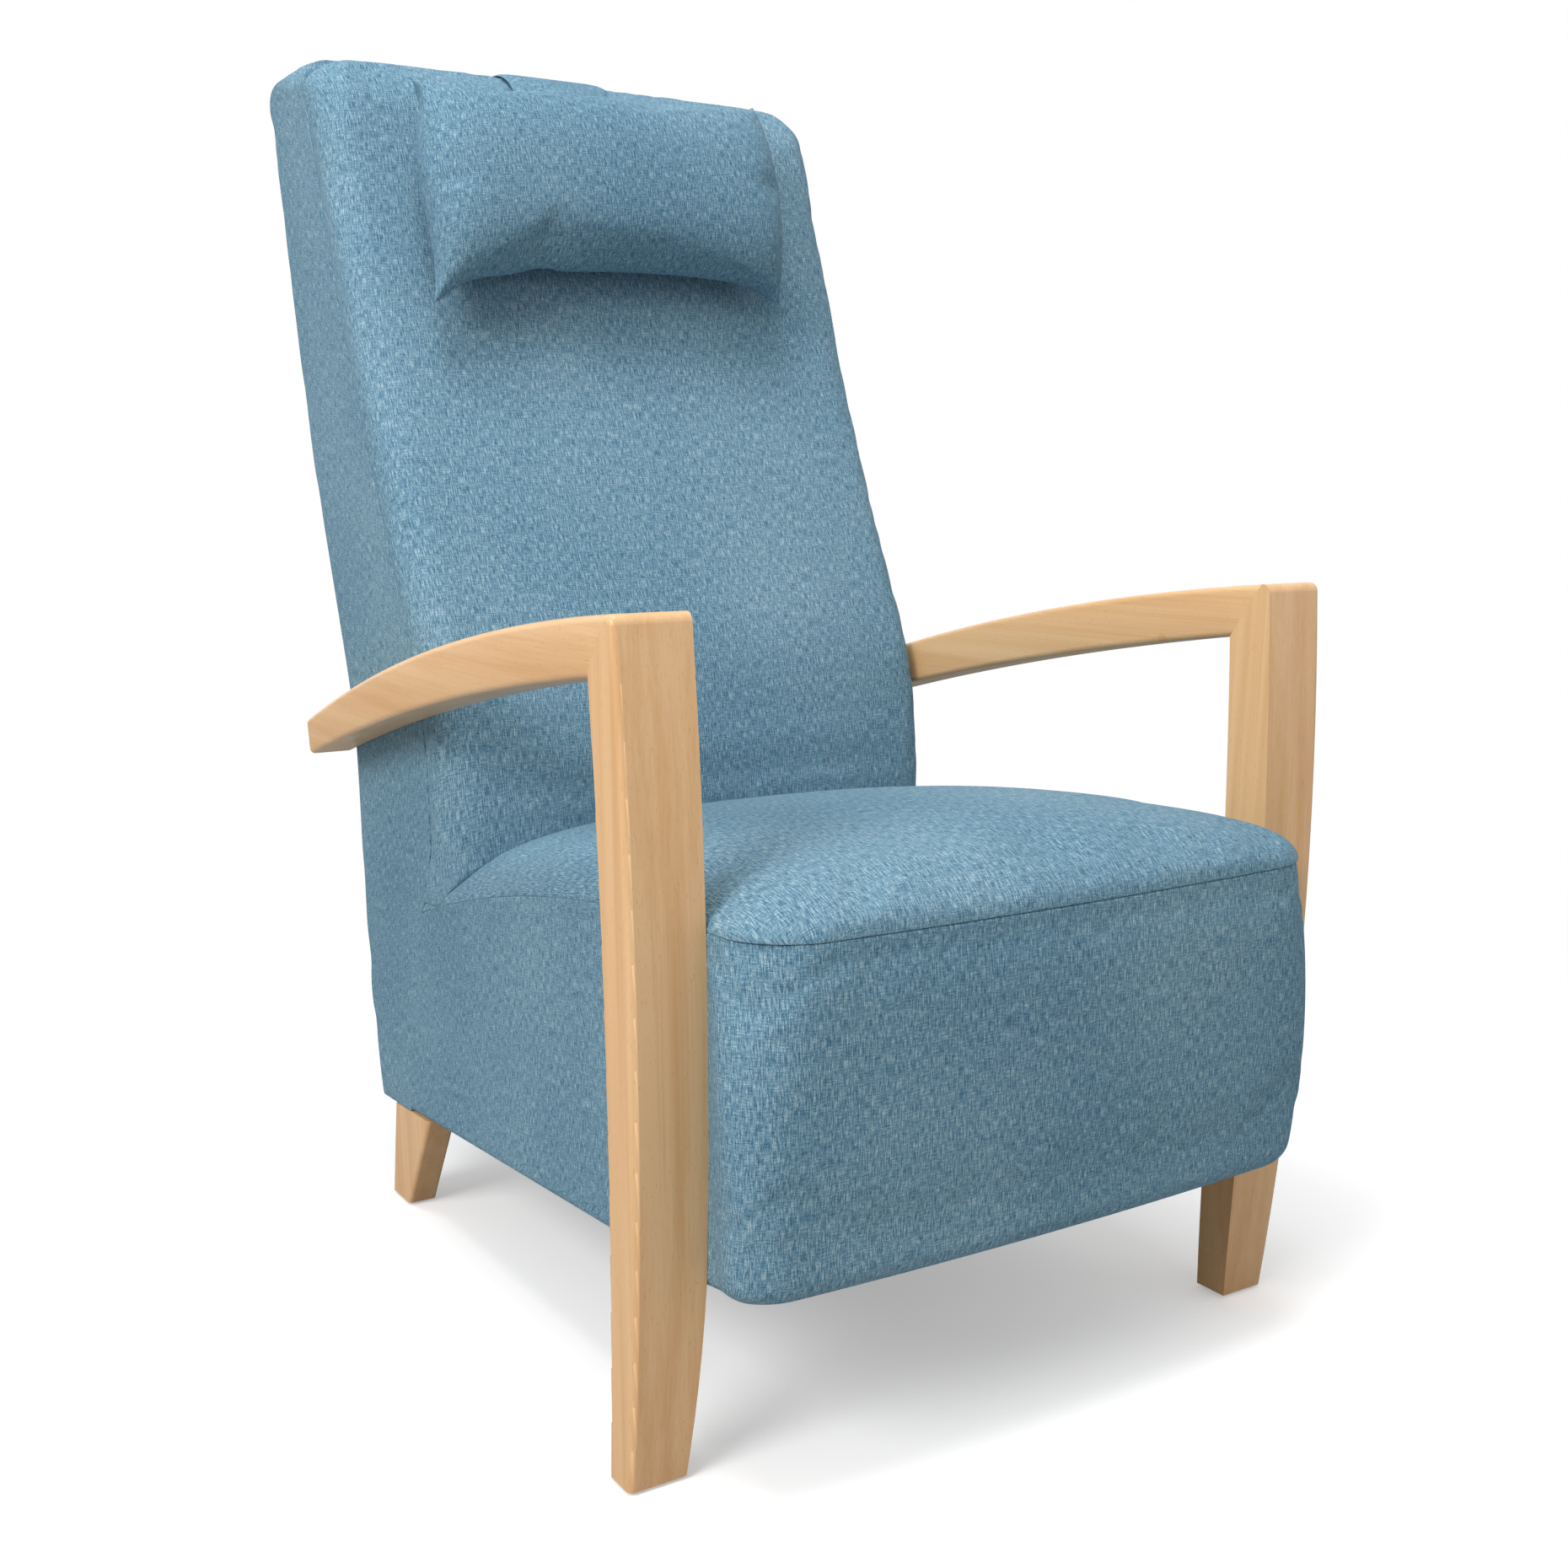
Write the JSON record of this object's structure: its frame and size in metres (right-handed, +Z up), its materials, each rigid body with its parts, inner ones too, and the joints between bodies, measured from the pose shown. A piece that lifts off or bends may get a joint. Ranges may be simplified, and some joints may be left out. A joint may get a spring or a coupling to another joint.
{
  "type": "armchair",
  "caption": "High-back upholstered easy chair with curved beech arms and a neck pillow that slides on a counterweighted strap.",
  "frame": {"origin": "on the floor, under the middle of the chair's bounding box", "axes": "+X to the right of someone who looks at the chair's front, +Y to the rear, +Z up; the seat faces -Y"},
  "size_m": [0.66, 0.914, 1.109],
  "materials": {
    "wood": "satin lacquered beech",
    "frame_wood": "plain sawn timber",
    "upholstery": "woven blue melange cloth over foam",
    "pillow_cloth": "woven blue melange cloth",
    "spring_steel": "oiled spring steel",
    "bolt_steel": "zinc plated steel",
    "bar_steel": "plain steel bar",
    "webbing": "elastic webbing",
    "lining": "black non-woven lining",
    "glide_plastic": "moulded glide"
  },
  "bodies": {
    "chair": {"front_post_left": "wood", "front_post_right": "wood", "armrest_left": "wood", "armrest_right": "wood", "rear_leg_left": "wood", "rear_leg_right": "wood", "seat_side_board_left": "frame_wood", "seat_side_board_right": "frame_wood", "seat_front_board": "frame_wood", "seat_rear_rail": "frame_wood", "corner_blocks": "frame_wood", "back_upright_left": "frame_wood", "back_upright_right": "frame_wood", "back_top_rail": "frame_wood", "back_lumbar_rail": "frame_wood", "back_bottom_rail": "frame_wood", "mitre_dowels": "frame_wood", "seat_cushion": "upholstery", "seat_front_panel": "upholstery", "seat_side_panel_left": "upholstery", "seat_side_panel_right": "upholstery", "back_cushion": "upholstery", "back_side_panel_left": "upholstery", "back_side_panel_right": "upholstery", "back_top_panel": "upholstery", "back_rear_panel": "upholstery", "strap_top": "pillow_cloth", "seat_springs": "spring_steel", "spring_clips": "spring_steel", "post_bolts": "bolt_steel", "arm_bolts": "bolt_steel", "leg_bolts": "bolt_steel", "back_webbing": "webbing", "dust_cover": "lining", "floor_glides": "glide_plastic"},
    "pillow": {"neck_pillow": "pillow_cloth", "strap_front": "pillow_cloth"},
    "counterweight": {"strap_rear": "pillow_cloth", "weight_sleeve": "pillow_cloth", "weight_bar": "bar_steel"}
  },
  "joints": [
    {"name": "pillow_slide", "type": "slide", "parent": "chair", "child": "pillow", "axis": [0, -0.3134, -0.9496], "range_m": [0, 0.12], "deforming": ["strap_front"]},
    {"name": "counterweight_slide", "type": "slide", "parent": "chair", "child": "counterweight", "axis": [0, 0, 1], "range_m": [0, 0.12], "deforming": ["strap_rear"]}
  ],
  "couplings": [
    {"joint": "counterweight_slide", "follows": "pillow_slide", "ratio": 1}
  ]
}
